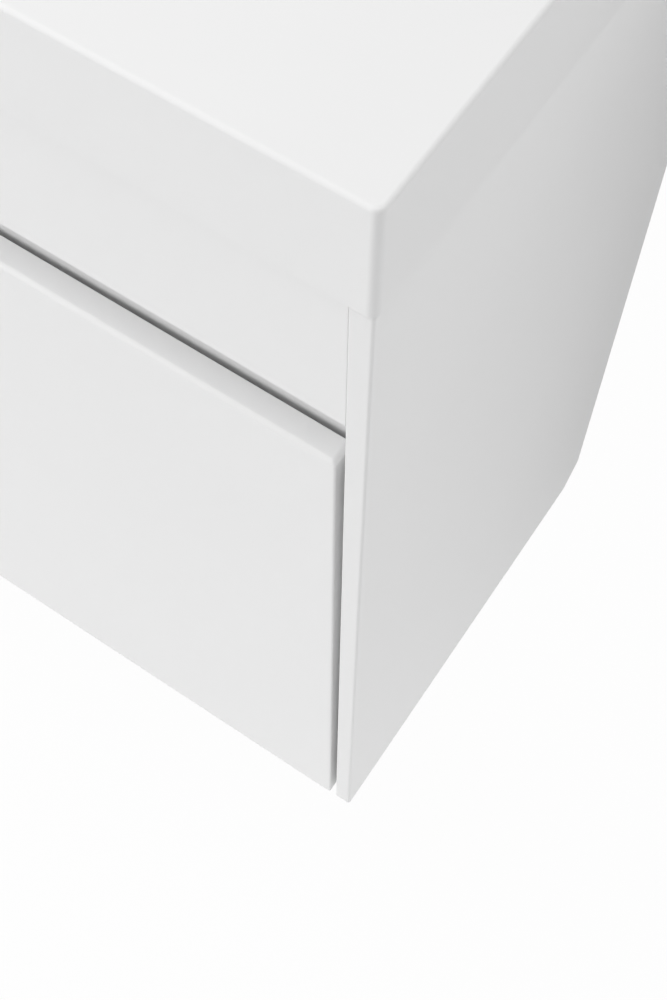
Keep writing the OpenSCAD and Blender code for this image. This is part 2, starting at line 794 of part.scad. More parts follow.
// Cast body on the side panel, with a slot for the hook
module hanger_body() color(STEEL) difference() {
    block([x_hanger, y_back_front - hanger_d, z_hanger_top - hanger_h],
          [x_in, y_back_front, z_hanger_top]);
    block([x_hook - hook_w / 2 - slot_fit, y_hook_front - slot_fit, z_hook - slot_fit],
          [x_hook + hook_w / 2 + slot_fit, y_back_front + CUT, z_hook + hook_h + slot_fit]);
    hanger_adjuster_forms(fixing_fit);
    for (y = hanger_screw_y) translate([x_hanger, y, z_hanger_screw]) rotate([0, -90, 0])
        screw_hole(hanger_w + hanger_screw_in);
}
module hanger_body_right() hanger_body();
module hanger_body_left() on_side(-1) hanger_body();

// Depth screw from the front and height screw from above, both on the hook
adjuster_d = 4;
adjuster_proud = 1.5;
adjuster_setback = 16;
module hanger_adjuster_forms(fit = 0) {
    y_face = y_back_front - hanger_d;
    depth_l = y_hook_front - y_face;
    height_l = z_hanger_top - z_hook - hook_h;
    translate([x_hook, y_face - adjuster_proud, z_hook + hook_h / 2]) to_y()
        cylinder(d = adjuster_d + 2 * fit, h = depth_l + adjuster_proud);
    translate([x_hook, y_hook_front + adjuster_setback, z_hook + hook_h])
        cylinder(d = adjuster_d + 2 * fit, h = height_l + adjuster_proud);
}
module hanger_adjusters() color(BRASS)
    for (side = [-1, 1]) on_side(side) hanger_adjuster_forms();

module hanger_screws() color(STEEL)
    for (side = [-1, 1], y = hanger_screw_y) on_side(side)
        translate([x_hanger, y, z_hanger_screw]) rotate([0, -90, 0])
            pan_screw(hanger_w + hanger_screw_in);

// ---------- runners ----------
// A runner is drawn on the right side. u is the distance from the side panel.

u_outer_lip = 9.6;
u_middle = 3;
u_middle_lip = 10.6;
u_cage_outer = 1.8;
u_cage_inner = 4.6;
u_inner_lip = 5.6;
u_ball_outer = 6;
u_ball_inner = 8;
race = ball_d + 2 * ball_play;
h_outer = runner_h / 2 - runner_sheet;
h_middle = h_outer - race;
h_inner = h_middle - runner_sheet - race;
cage_tab = 2.8;

// Block of a runner between two distances from the side panel and two heights
module runner_block(u0, u1, h0, h1, y0, y1) {
    block([x_in - u1, y0, z_runner + h0], [x_in - u0, y1, z_runner + h1]);
}

// C profile: a web from u0 to u1 and two flanges from f0 to f1, outer height 2 * h
module runner_channel(u0, u1, f0, f1, h) {
    y1 = y_runner + runner_l;
    runner_block(u0, u1, -h, h, y_runner, y1);
    runner_block(f0, f1, h - runner_sheet, h, y_runner, y1);
    runner_block(f0, f1, -h, runner_sheet - h, y_runner, y1);
}

module runner_outer() color(STEEL) difference() {
    runner_channel(0, runner_sheet, 0, u_outer_lip, runner_h / 2);
    for (y = screw_rows_runner) translate([x_in, y, z_runner]) flat_screw(fixing_fit);
}
module runner_outer_right() runner_outer();
module runner_outer_left() on_side(-1) runner_outer();

module runner_middle() color(STEEL)
    runner_channel(u_middle, u_middle + runner_sheet, u_middle, u_middle_lip, h_middle);
module runner_middle_right() runner_middle();
module runner_middle_left() on_side(-1) runner_middle();

module runner_inner() color(STEEL) difference() {
    runner_channel(runner_t - runner_sheet, runner_t, u_inner_lip, runner_t, h_inner);
    inner_screw_places() screw_hole(inner_screw_l);
}
module runner_inner_right() runner_inner();
module runner_inner_left() on_side(-1) runner_inner();

// Countersunk screw in the outer member's web; X points out of the cabinet
module flat_screw(fit = 0) {
    translate([-runner_sheet, 0, 0]) to_x()
        cylinder(d1 = screw_head_d + 2 * fit, d2 = screw_d + 2 * fit, h = runner_sheet);
    to_x() cylinder(d = screw_d + 2 * fit, h = runner_screw_in);
}
module runner_outer_screws() color(STEEL)
    for (side = [-1, 1], y = screw_rows_runner) on_side(side)
        translate([x_in, y, z_runner]) flat_screw();

// Pan head screws through the inner member into the right drawer side
inner_screw_l = runner_sheet + screw_in;
module inner_screw_places() {
    for (y = screw_rows_runner)
        translate([x_in - runner_t + runner_sheet, y, z_runner]) to_x() children();
}
module runner_inner_screws() color(STEEL)
    for (side = [-1, 1]) on_side(side) inner_screw_places() pan_screw(inner_screw_l);

// Ball cage: a bent strip with a row of balls above and below
module ball_cage(u_web, u_tab_end, u_ball, h) color(BRASS) {
    cage_l = cage_share * runner_l;
    y0 = y_runner + (runner_l - cage_l) / 2;
    count = floor((cage_l - 2 * ball_d) / ball_pitch) + 1;
    y_first = y0 + (cage_l - (count - 1) * ball_pitch) / 2;
    difference() {
        union() {
            runner_block(u_web, u_web + cage_t, -h, h, y0, y0 + cage_l);
            for (k = [-1, 1])
                runner_block(u_web, u_tab_end, k * h - cage_t / 2, k * h + cage_t / 2,
                             y0, y0 + cage_l);
        }
        for (i = [0:count - 1], k = [-1, 1])
            translate([x_in - u_ball, y_first + i * ball_pitch, z_runner + k * h - cage_t])
                cylinder(d = ball_d + ball_play, h = 2 * cage_t);
    }
    for (i = [0:count - 1], k = [-1, 1])
        translate([x_in - u_ball, y_first + i * ball_pitch, z_runner + k * h])
            sphere(d = ball_d);
}
module ball_cage_outer_right()
    ball_cage(u_cage_outer, u_ball_outer + cage_tab, u_ball_outer, h_outer - race / 2);
module ball_cage_outer_left() on_side(-1) ball_cage_outer_right();
module ball_cage_inner_right()
    ball_cage(u_cage_inner, u_ball_inner + cage_tab, u_ball_inner, h_inner + race / 2);
module ball_cage_inner_left() on_side(-1) ball_cage_inner_right();

// ---------- drawer ----------

y_box_front = y_front_back + box_t;
y_box_back_front = y_box_back - box_t;
z_box_top = z_box + box_h;
groove_fit = 0.1;
gallery_fit = 0.05;
gallery_seat = 8;
front_screw_x = [for (k = [-3, 0, 3]) k * overall_w / 8];
front_screw_z = [for (k = [0.28, 0.78]) z_box + k * box_h];
front_screw_l = box_t + screw_in;
drawer_dowel_z = [for (k = [0.3, 0.8]) z_box + k * box_h];
socket_wall = 4;
socket_floor = 2;
gallery_end_gap = 0.3;

// Drawer front with all four front edges and the corners rounded
module drawer_front() color(LACQUER) difference() {
    w = 2 * (x_in - reveal);
    h = z_front_top - z_low;
    intersection() {
        along_z(z_low, z_front_top) translate([-w / 2, y_front])
            soft_rect(w, front_t, front_r, 0);
        along_x(-w / 2, w / 2) translate([y_front, z_low])
            difference() {
                square([front_t, h]);
                corner_waste(front_r);
                translate([0, h]) mirror([0, 1]) corner_waste(front_r);
            }
        along_y(y_front, y_front_back) translate([-w / 2, z_low])
            soft_rect(w, h, front_r, front_r);
    }
    front_screw_places() screw_hole(front_screw_l);
}

module front_screw_places() {
    for (x = front_screw_x, z = front_screw_z)
        translate([x, y_box_front, z]) to_y() children();
}
module drawer_front_screws() color(STEEL) front_screw_places() pan_screw(front_screw_l);

// Bottom panel of the drawer; fit widens it for its grooves
module tray_form(fit = 0) {
    block([-x_box_in - groove_depth - fit, y_box_front - groove_depth - fit, z_tray - fit],
          [x_box_in + groove_depth + fit, y_box_back_front + groove_depth + fit,
           z_tray + tray_t + fit]);
}
module drawer_bottom() color(TIMBER) tray_form();

module drawer_dowel_forms(fit = 0) {
    for (side = [-1, 1], z = drawer_dowel_z,
         y = [y_box_front - box_t / 2, y_box_back - box_t / 2]) on_side(side)
        translate([x_box_in - dowel_out - fit, y, z]) to_x()
            cylinder(d = dowel_d + 2 * fit, h = dowel_out + dowel_in + 2 * fit);
}
module drawer_dowels() color(TIMBER) drawer_dowel_forms();

module drawer_side() color(LACQUER) difference() {
    block([x_box_in, y_front_back, z_box], [x_box, y_box_back, z_box_top]);
    tray_form(groove_fit);
    drawer_dowel_forms(fixing_fit);
    inner_screw_places() screw_hole(inner_screw_l);
}
module drawer_side_right() drawer_side();
module drawer_side_left() on_side(-1) drawer_side();

module drawer_box_front() color(LACQUER) difference() {
    block([-x_box_in, y_front_back, z_box], [x_box_in, y_box_front, z_box_top]);
    tray_form(groove_fit);
    drawer_dowel_forms(fixing_fit);
    front_screw_places() screw_hole(front_screw_l);
}

module drawer_back() color(LACQUER) difference() {
    block([-x_box_in, y_box_back_front, z_box], [x_box_in, y_box_back, z_box + box_back_h]);
    tray_form(groove_fit);
    drawer_dowel_forms(fixing_fit);
    for (side = [-1, 1]) translate([side * x_gallery, y_box_back_front - CUT, z_gallery])
        to_y() cylinder(d = gallery_d + 2 * gallery_fit, h = gallery_seat + CUT);
}

// Gallery rail from its socket on the drawer front to its hole in the drawer back
module gallery_rail() color(STEEL) {
    y0 = y_front_back + socket_floor;
    y1 = y_box_back_front + gallery_seat - gallery_end_gap;
    translate([x_gallery, y0, z_gallery]) to_y() cylinder(d = gallery_d, h = y1 - y0);
}
module gallery_rail_right() gallery_rail();
module gallery_rail_left() on_side(-1) gallery_rail();

module gallery_sockets() color(PLASTIC)
    for (side = [-1, 1]) translate([side * x_gallery, y_front_back, z_gallery]) to_y()
        difference() {
            cylinder(d = gallery_d + 2 * socket_wall, h = socket_l);
            translate([0, 0, socket_floor])
                cylinder(d = gallery_d + 2 * gallery_fit, h = socket_l);
        }

basin_top();
side_panel_left();
side_panel_right();
bottom_panel();
upper_back_rail();
lower_back_rail();
recess_rail();
fascia_panel();
fascia_screws();
carcass_dowels();
cam_bolts();
cam_locks();
top_brackets();
bracket_screws();
hanger_body_left();
hanger_body_right();
hanger_hook_left();
hanger_hook_right();
hanger_adjusters();
hanger_screws();
wall_plate_left();
wall_plate_right();
waste_body();
waste_seal_upper();
waste_seal_lower();
waste_nut();
plug_cartridge();
waste_plug();
plug_gasket();
overflow_ring();
bumper_pads();
runner_outer_left();
runner_outer_right();
runner_outer_screws();
ball_cage_outer_left();
ball_cage_outer_right();
runner_middle_left();
runner_middle_right();
ball_cage_inner_left();
ball_cage_inner_right();
runner_inner_left();
runner_inner_right();
runner_inner_screws();
drawer_front();
drawer_front_screws();
drawer_box_front();
drawer_side_left();
drawer_side_right();
drawer_back();
drawer_bottom();
drawer_dowels();
gallery_rail_left();
gallery_rail_right();
gallery_sockets();
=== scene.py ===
"""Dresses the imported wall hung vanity: lacquered boards with eased edges, a cast basin top,
chromed and plated fittings, and the studio that it is seen in."""

import json
import math

import bpy
import numpy as np
from mathutils import Matrix, Vector

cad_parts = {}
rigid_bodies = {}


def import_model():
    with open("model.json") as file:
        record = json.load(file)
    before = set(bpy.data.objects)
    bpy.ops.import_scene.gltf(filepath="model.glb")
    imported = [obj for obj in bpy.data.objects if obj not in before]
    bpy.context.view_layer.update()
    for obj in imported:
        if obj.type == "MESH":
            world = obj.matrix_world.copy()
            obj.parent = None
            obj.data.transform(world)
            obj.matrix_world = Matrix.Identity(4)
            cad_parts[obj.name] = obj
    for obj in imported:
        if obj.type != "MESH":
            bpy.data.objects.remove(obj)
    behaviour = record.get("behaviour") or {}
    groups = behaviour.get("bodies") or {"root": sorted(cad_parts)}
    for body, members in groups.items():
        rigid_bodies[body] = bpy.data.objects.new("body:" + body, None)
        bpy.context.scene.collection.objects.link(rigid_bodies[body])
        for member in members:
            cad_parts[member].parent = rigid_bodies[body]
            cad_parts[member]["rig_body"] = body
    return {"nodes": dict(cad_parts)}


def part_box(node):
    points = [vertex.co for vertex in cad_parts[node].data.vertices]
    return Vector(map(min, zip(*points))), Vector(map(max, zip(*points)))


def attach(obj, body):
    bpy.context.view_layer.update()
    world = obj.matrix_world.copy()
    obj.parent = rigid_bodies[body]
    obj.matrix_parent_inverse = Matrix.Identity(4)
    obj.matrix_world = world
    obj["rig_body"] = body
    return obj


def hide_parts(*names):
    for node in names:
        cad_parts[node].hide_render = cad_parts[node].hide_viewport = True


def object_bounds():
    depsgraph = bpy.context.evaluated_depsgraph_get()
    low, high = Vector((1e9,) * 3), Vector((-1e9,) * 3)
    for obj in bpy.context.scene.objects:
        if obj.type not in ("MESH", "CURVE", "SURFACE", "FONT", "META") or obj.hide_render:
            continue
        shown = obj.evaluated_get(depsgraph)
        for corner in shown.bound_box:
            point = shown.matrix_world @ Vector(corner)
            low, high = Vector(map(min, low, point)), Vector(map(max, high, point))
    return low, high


bl_info = {
    "name": "Wall Hung Vanity Finish",
    "version": (1, 0, 0),
    "blender": (4, 5, 0),
    "location": "3D View > Sidebar > Vanity",
    "description": "Eases the edges of a wall hung vanity and gives its parts their finishes",
    "category": "Object",
}

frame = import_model()
CAD_LOW, CAD_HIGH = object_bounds()
NODES = frame["nodes"]
MM = 0.001

CARCASS_BOARDS = ("bottom_panel", "upper_back_rail", "lower_back_rail", "recess_rail")
PLATED = (
    "fascia_screws", "cam_bolts", "cam_locks", "top_brackets", "bracket_screws",
    "hanger_hook_left", "hanger_hook_right", "hanger_adjusters", "hanger_screws",
    "wall_plate_left", "wall_plate_right", "runner_outer_left", "runner_outer_right",
    "runner_outer_screws", "runner_middle_left", "runner_middle_right",
    "runner_inner_left", "runner_inner_right", "runner_inner_screws",
    "ball_cage_outer_left", "ball_cage_outer_right", "ball_cage_inner_left",
    "ball_cage_inner_right", "drawer_front_screws",
)

# The frame's axes of a board's outline and of its thickness.
FACING_SIDE = (1, 2, 0)
FACING_FRONT = (0, 2, 1)
ARC_POINTS = 7              # points round each rounded corner and down each arris
LEAST_RADIUS = 0.02 * MM    # of a corner whose rounding the arris has used up

# The camera's place and its directions in the frame, solved from the cabinet's own edges.
CAMERA_PLACE = (0.55199, -0.55758, 0.51431)
CAMERA_RIGHT = (0.83087, 0.55643, 0.00624)
CAMERA_DOWN = (0.50032, -0.74208, -0.44608)
CAMERA_AHEAD = (-0.24358, 0.37376, -0.89497)
SENSOR_WIDTH = 36.0
NEAREST_SEEN = 0.01

# Each lamp: its name, place, the side of its square and the setting that holds its power.
LAMPS = (
    ("front_light", (-2.75, -3.68, 1.35), 2.9, "key"),
    ("side_light", (2.60, 1.00, 0.66), 1.6, "rim"),
    ("low_light", (1.0, -0.9, -1.0), 1.0, "low"),
    ("top_light", (-0.4, -0.38, 2.06), 1.6, "top"),
)
LAMP_TARGET = (0.2, -0.2, -0.14)

FLOOR_RADIUS = 6.0
FLOOR_AROUND, FLOOR_RINGS = 64, 12
FLOOR_WHITE = 0.95          # share of plain white in what the camera sees of the floor
GAUZE_GREY = (0.4, 0.4, 0.4)
GAUZE_GAP = 12 * MM         # from the cabinet's rear to the gauze


# ---------------------------------------------------------------- shader maths


class Socket:
    """Wraps a node's output, so that an expression on sockets adds its Math nodes."""

    def __init__(self, tree, output):
        self.tree = tree
        self.output = output

    def maths(self, operation, *values):
        return self.tree.add("ShaderNodeMath", {"operation": operation}, *values)

    def __add__(self, other):
        return self.maths("ADD", self, other)

    __radd__ = __add__

    def __sub__(self, other):
        return self.maths("SUBTRACT", self, other)

    def __rsub__(self, other):
        return self.maths("SUBTRACT", other, self)

    def __mul__(self, other):
        return self.maths("MULTIPLY", self, other)

    __rmul__ = __mul__

    def highest(self, other):
        return self.maths("MAXIMUM", self, other)

    def clamped(self):
        return self.maths("MINIMUM", self.highest(0.0), 1.0)

    def swing(self, width):
        """How far a pattern is from its middle value, a half, times a width."""
        return (self - 0.5) * width


class NodeTree:
    """A node tree under construction."""

    def __init__(self, tree):
        self.tree = tree

    def join(self, value, target):
        """Gives a socket a value, or a link where the value is another node's socket."""
        if isinstance(value, Socket):
            self.tree.links.new(value.output, target)
        else:
            target.default_value = value

    def add(self, kind, settings, *values, out=0, at=None, **named):
        """Adds a node: its settings first, then the values or links of its sockets, which are
        given in order, by their numbers or by their names."""
        node = self.tree.nodes.new(kind)
        for key, value in settings.items():
            setattr(node, key, value)
        pairs = [*enumerate(values), *(at or {}).items()]
        pairs += [(key.replace("_", " "), value) for key, value in named.items()]
        for key, value in pairs:
            self.join(value, node.inputs[key])
        return Socket(self, node.outputs[out])

    def seen(self):
        """1 for rays from the camera or a mirror or through glass, 0 for the rest."""
        path = self.add("ShaderNodeLightPath", {}).output.node
        camera, glossy, clear = (Socket(self, path.outputs[f"Is {kind} Ray"])
                                 for kind in ("Camera", "Glossy", "Transmission"))
        return camera.highest(glossy).highest(clear)


class Shader(NodeTree):
    """A material under construction, with its Principled shader."""

    def __init__(self, name, colour, roughness, metallic=0.0):
        self.material = bpy.data.materials.new(name)
        self.material.use_nodes = True
        super().__init__(self.material.node_tree)
        self.principled = self.tree.nodes["Principled BSDF"]
        self.feed("Base Color", (*colour, 1.0))
        self.feed("Roughness", roughness)
        self.feed("Metallic", metallic)

    def feed(self, name, value):
        self.join(value, self.principled.inputs[name])

    def place(self):
        """Object coordinates, in metres."""
        return self.add("ShaderNodeTexCoord", {}, out="Object")

    def stretched(self, x, y, z):
        """Object coordinates with each axis scaled."""
        return self.add("ShaderNodeMapping", {}, self.place(), Scale=(x, y, z))

    def noise(self, where, scale, detail=3.0, rough=0.5):
        return self.add("ShaderNodeTexNoise", {}, Vector=where, Scale=scale,
                        Detail=detail, Roughness=rough)

    def tint(self, pattern, colour, low, high):
        """Base colour: the colour times low where the pattern is 0, times high where it is 1.
        The Mix node's colours are its sockets 6 and 7, and its mixed colour comes out of 2."""
        dark, light = ((*(c * share for c in colour), 1.0) for share in (low, high))
        mixed = self.add("ShaderNodeMix", {"data_type": "RGBA"}, pattern,
                         at={6: dark, 7: light}, out=2)
        self.feed("Base Color", mixed)

    def bump(self, height, distance, strength=1.0):
        self.feed("Normal", self.add("ShaderNodeBump", {}, Height=height, Distance=distance,
                                     Strength=strength))


def lacquer(name, colour, roughness):
    """Sprayed satin lacquer: fine orange peel, faint long waves and a slight sheen change."""
    shader = Shader(name, colour, roughness)
    where = shader.place()
    peel = shader.noise(where, scale=420.0, detail=2.0)
    wave = shader.noise(where, scale=9.0, detail=2.0)
    shader.tint(wave, colour, low=0.985, high=1.012)
    shader.feed("Roughness", wave.swing(0.06) + peel.swing(0.03) + roughness)
    shader.bump(peel + wave * 4.0, distance=0.012 * MM, strength=0.6)
    return shader.material


def cast_resin(name, colour, roughness):
    """Cast mineral resin, rubbed matt: faint cloudiness and a very fine grain."""
    shader = Shader(name, colour, roughness)
    shader.feed("Specular IOR Level", 0.3)
    where = shader.place()
    cloud = shader.noise(where, scale=14.0, detail=4.0)
    grain = shader.noise(where, scale=500.0, detail=2.0)
    shader.tint(cloud, colour, low=0.988, high=1.01)
    shader.feed("Roughness", cloud.swing(0.05) + grain.swing(0.04) + roughness)
    shader.bump(grain * 0.15 + cloud * 2.0, distance=0.008 * MM, strength=0.5)
    return shader.material


def foil_board(name, colour):
    """Foil-faced board: a pale print with a faint fibre along the board and a matt emboss."""
    shader = Shader(name, colour, roughness=0.5)
    fibre = shader.noise(shader.stretched(6.0, 160.0, 160.0), scale=3.0, detail=5.0, rough=0.6)
    emboss = shader.noise(shader.place(), scale=700.0, detail=2.0)
    shader.tint(fibre, colour, low=0.95, high=1.03)
    shader.feed("Roughness", fibre * 0.12 + emboss * 0.08 + 0.4)
    shader.bump(emboss + fibre, distance=0.03 * MM, strength=0.7)
    return shader.material


def beech(name, colour):
    """Turned beech: straight grain with short dark flecks."""
    shader = Shader(name, colour, roughness=0.6)
    grain = shader.noise(shader.stretched(8.0, 220.0, 220.0), scale=3.0, detail=5.0, rough=0.65)
    fleck = shader.noise(shader.stretched(60.0, 900.0, 900.0), scale=2.0, detail=2.0)
    fleck = ((fleck - 0.58) * 6.0).clamped()
    shader.tint((grain * 0.8 + fleck * 0.5).clamped(), colour, low=1.12, high=0.72)
    shader.feed("Roughness", grain * 0.2 + 0.5)
    shader.bump(grain, distance=0.08 * MM)
    return shader.material


def plated_steel(name, colour, roughness):
    """Zinc plating on rolled strip: soft spangle, fine rolling lines and handling marks."""
    shader = Shader(name, colour, roughness, metallic=1.0)
    where = shader.place()
    spangle = shader.noise(where, scale=160.0)
    lines = shader.noise(shader.stretched(900.0, 12.0, 900.0), scale=1.0, rough=0.6)
    marks = shader.noise(where, scale=35.0, detail=4.0)
    shader.tint(spangle, colour, low=0.9, high=1.06)
    shader.feed("Roughness", lines * 0.16 + marks.swing(0.12) + (roughness - 0.06))
    shader.bump(lines + spangle * 0.5, distance=0.01 * MM, strength=0.6)
    return shader.material


def chrome_plate(name, colour):
    """Polished chrome with the faint haze of water marks."""
    shader = Shader(name, colour, roughness=0.07, metallic=1.0)
    where = shader.place()
    haze = ((shader.noise(where, scale=70.0, detail=4.0) - 0.45) * 2.5).clamped()
    shader.feed("Roughness", haze * 0.09 + 0.05)
    shader.tint(haze, colour, low=1.0, high=0.94)
    shader.bump(shader.noise(where, scale=25.0, detail=2.0), distance=0.02 * MM, strength=0.4)
    return shader.material


def turned_brass(name, colour):
    """Machined brass: fine turning lines and darker tarnish patches."""
    shader = Shader(name, colour, roughness=0.3, metallic=1.0)
    lines = shader.noise(shader.stretched(25.0, 25.0, 2500.0), scale=1.0, detail=2.0)
    patch = shader.noise(shader.place(), scale=60.0, detail=4.0)
    shader.tint(patch, colour, low=1.08, high=0.78)
    shader.feed("Roughness", lines * 0.14 + patch * 0.12 + 0.18)
    shader.bump(lines, distance=0.02 * MM, strength=0.7)
    return shader.material


def soft_plastic(name, colour, roughness, grain_height=0.02 * MM):
    """Moulded plastic or rubber: spark-eroded grain and slightly varied sheen."""
    shader = Shader(name, colour, roughness)
    where = shader.place()
    grain = shader.noise(where, scale=1400.0, detail=2.0)
    shader.tint(shader.noise(where, scale=40.0), colour, low=0.95, high=1.04)
    shader.feed("Roughness", grain.swing(0.12) + roughness)
    shader.bump(grain, grain_height)
    return shader.material


def studio_paint(name, colour):
    """Matt paint or cloth of the studio, faintly mottled. Its shader is returned for more."""
    shader = Shader(name, colour, roughness=0.8)
    shader.tint(shader.noise(shader.place(), scale=3.0), colour, low=0.995, high=1.0)
    return shader


# ---------------------------------------------------------------- surfaces


def finished_mesh(name, points, faces, normals, material):
    """Makes an object of points and faces in the frame, with a normal for each point."""
    mesh = bpy.data.meshes.new(name)
    mesh.from_pydata(points.tolist(), [], faces)
    mesh.update()
    mesh.polygons.foreach_set("use_smooth", [True] * len(mesh.polygons))
    mesh.normals_split_custom_set_from_vertices(normals.tolist())
    if mesh.validate():
        raise RuntimeError(f"{name} has faces that Blender had to repair")
    mesh.materials.append(material)
    piece = bpy.data.objects.new(name, mesh)
    bpy.context.scene.collection.objects.link(piece)
    return piece


def ring_faces(rings, around):
    """Quads between each ring of points and the next, all rings closed: the point at place k
    of a ring joins the point at k and the one after it, on this ring and on the next."""
    ring = np.arange(rings - 1)[:, None] * around
    here = np.arange(around)[None, :]
    after = (here + 1) % around
    quads = np.stack([ring + here, ring + after, ring + around + after, ring + around + here], -1)
    return quads.reshape(-1, 4).tolist()


def outline_frames(corners):
    """For a convex outline, counter-clockwise: the outward normals of the sides before and
    after each corner, and how far the corner moves as either side moves in by one."""
    sides = np.roll(corners, -1, 0) - corners
    sides = sides / np.linalg.norm(sides, axis=1, keepdims=True)
    after = np.stack([sides[:, 1], -sides[:, 0]], 1)
    before = np.roll(after, 1, 0)
    lean = (before * after).sum(1, keepdims=True)
    by_before = -(before - lean * after) / (1.0 - lean ** 2)
    by_after = -(after - lean * before) / (1.0 - lean ** 2)
    return before, after, by_before, by_after


def edge_profile(depth, radius):
    """An arris of that radius: at a depth under its face, how far the side has moved in,
    r - sqrt(r^2 - (r - depth)^2), and its normal's shares outwards and along the depth."""
    up = np.clip(radius - depth, 0.0, radius) / radius
    out = np.sqrt(1.0 - up ** 2)
    return radius * (1.0 - out), out, up


def eased_board(name, material, corners, axes, span, ease, corner_r):
    """A board with eased edges: a rounded outline carried from one face to the other.

    Its outline is a convex polygon. ease gives, for the first and the last face, the arris
    radius of each side of the outline. Each ring lies at one depth, and moves each side in as
    that side's arris says. Each corner of a ring is an arc between its two sides' normals,
    whose radius is what the arris leaves of corner_r. axes is FACING_SIDE or FACING_FRONT."""
    corners = np.asarray(corners, float)
    count = len(corners)
    around = count * ARC_POINTS
    before, after, by_before, by_after = outline_frames(corners)
    turn = np.linspace(0.0, 1.0, ARC_POINTS)[None, :, None]
    angle = np.arccos(np.clip((before * after).sum(1), -1, 1))[:, None, None]
    arc = (np.sin((1 - turn) * angle) * before[:, None] + np.sin(turn * angle) * after[:, None])
    arc = arc / np.sin(angle)
    quarter = np.linspace(0.0, math.pi / 2, ARC_POINTS)
    rings, ring_normals = [], []
    for face, end, step in ((0, span[0], 1.0), (1, span[1], -1.0)):
        radii = np.broadcast_to(np.asarray(ease[face], float), (count,))
        depths = [r * (1 - np.cos(quarter)) for r in set(radii)]
        depths = np.unique(np.concatenate(depths).round(9))
        inset, out, up = edge_profile(depths[:, None], radii[None, :])
        inset_b, out_b, up_b = (np.roll(v, 1, 1) for v in (inset, out, up))
        at = corners[None] + inset_b[..., None] * by_before + inset[..., None] * by_after
        radius = np.maximum(corner_r - np.maximum(inset, inset_b), LEAST_RADIUS)[..., None]
        middle = at + radius * (by_before + by_after)
        flat = middle[:, :, None] + arc[None] * radius[:, :, None]
        share = turn[None]
        outward = out_b[..., None, None] * (1 - share) + out[..., None, None] * share
        upward = up_b[..., None, None] * (1 - share) + up[..., None, None] * share
        ring = np.zeros((len(depths), around, 3))
        normal = np.zeros_like(ring)
        ring[..., axes[:2]] = flat.reshape(len(depths), -1, 2)
        ring[..., axes[2]] = (end + step * depths)[:, None]
        normal[..., axes[:2]] = (arc[None] * outward).reshape(len(depths), -1, 2)
        normal[..., axes[2]] = -step * upward.reshape(len(depths), -1)
        order = slice(None) if face == 0 else slice(None, None, -1)
        rings.append(ring[order])
        ring_normals.append(normal[order])
    points, normals = np.concatenate(rings), np.concatenate(ring_normals)
    last = (len(points) - 1) * around
    faces = ring_faces(len(points), around)
    faces += [list(range(around))[::-1], list(range(last, last + around))]
    if axes == FACING_FRONT:    # x, z and y are a left-handed set
        faces = [face[::-1] for face in faces]
    return finished_mesh(name, points.reshape(-1, 3), faces, normals.reshape(-1, 3), material)


def node_board(node, material, axes, ease, corner_r, outline=None):
    """An eased board in the place of a CAD board, out to that board's own box."""
    low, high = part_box(node)
    a, b, c = axes
    if outline is None:
        outline = [(low[a], low[b]), (high[a], low[b]), (high[a], high[b]), (low[a], high[b])]
    piece = eased_board(node + "_eased", material, outline, axes, (low[c], high[c]), ease,
                        corner_r)
    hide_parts(node)
    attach(piece, NODES[node]["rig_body"])
    return piece


def dress(material, *nodes):
    """Gives CAD nodes their finish."""
    for node in nodes:
        slots = NODES[node].data.materials
        slots.clear()
        slots.append(material)


# ---------------------------------------------------------------- settings


def colour_prop(name, description, default):
    return bpy.props.FloatVectorProperty(name=name, description=description, default=default,
                                         subtype="COLOR", size=3, min=0.0, max=1.0)


def length_prop(name, description, default):
    return bpy.props.FloatProperty(name=name, description=description, default=default,
                                   unit="LENGTH", subtype="DISTANCE", min=0.0, precision=5)


def share_prop(name, description, default):
    return bpy.props.FloatProperty(name=name, description=description, default=default,
                                   subtype="FACTOR", min=0.0, max=1.0)


def power_prop(name, description, default):
    return bpy.props.FloatProperty(name=name, description=description, default=default,
                                   unit="POWER", min=0.0)


class VanityColours(bpy.types.PropertyGroup):
    """Base colours and sheen of the finishes."""

    lacquer: colour_prop("Carcass lacquer", "Satin lacquer of the side panels and rails",
                         (0.83, 0.83, 0.83))
    front: colour_prop("Front lacquer", "Satin lacquer of the fascia and the drawer front",
                       (0.84, 0.84, 0.84))
    cast: colour_prop("Cast top", "Mineral resin of the basin top", (0.85, 0.85, 0.85))
    board: colour_prop("Drawer board", "Foil of the drawer box", (0.80, 0.79, 0.77))
    dowel: colour_prop("Dowels", "Beech of the dowels", (0.72, 0.55, 0.36))
    chrome: colour_prop("Chrome", "Plating of the waste, its plug and the gallery rails",
                        (0.80, 0.81, 0.83))
    steel: colour_prop("Plated steel", "Zinc plating of the runners and small fittings",
                       (0.66, 0.67, 0.69))
    brass: colour_prop("Brass", "Nut and cartridge of the waste", (0.72, 0.58, 0.30))
    plastic: colour_prop("Plastic", "Hanger bodies and rail sockets", (0.78, 0.78, 0.78))
    gel: colour_prop("Bumpers", "Clear pads behind the drawer front", (0.82, 0.83, 0.84))
    rubber: colour_prop("Rubber", "Seals of the waste", (0.05, 0.05, 0.05))
    floor: colour_prop("Floor", "Matt paint of the studio floor", (0.90, 0.90, 0.90))
    lacquer_roughness: share_prop("Lacquer roughness", "0 for gloss, 1 for dead matt", 0.42)
    cast_roughness: share_prop("Cast top roughness", "0 for gloss, 1 for dead matt", 0.62)


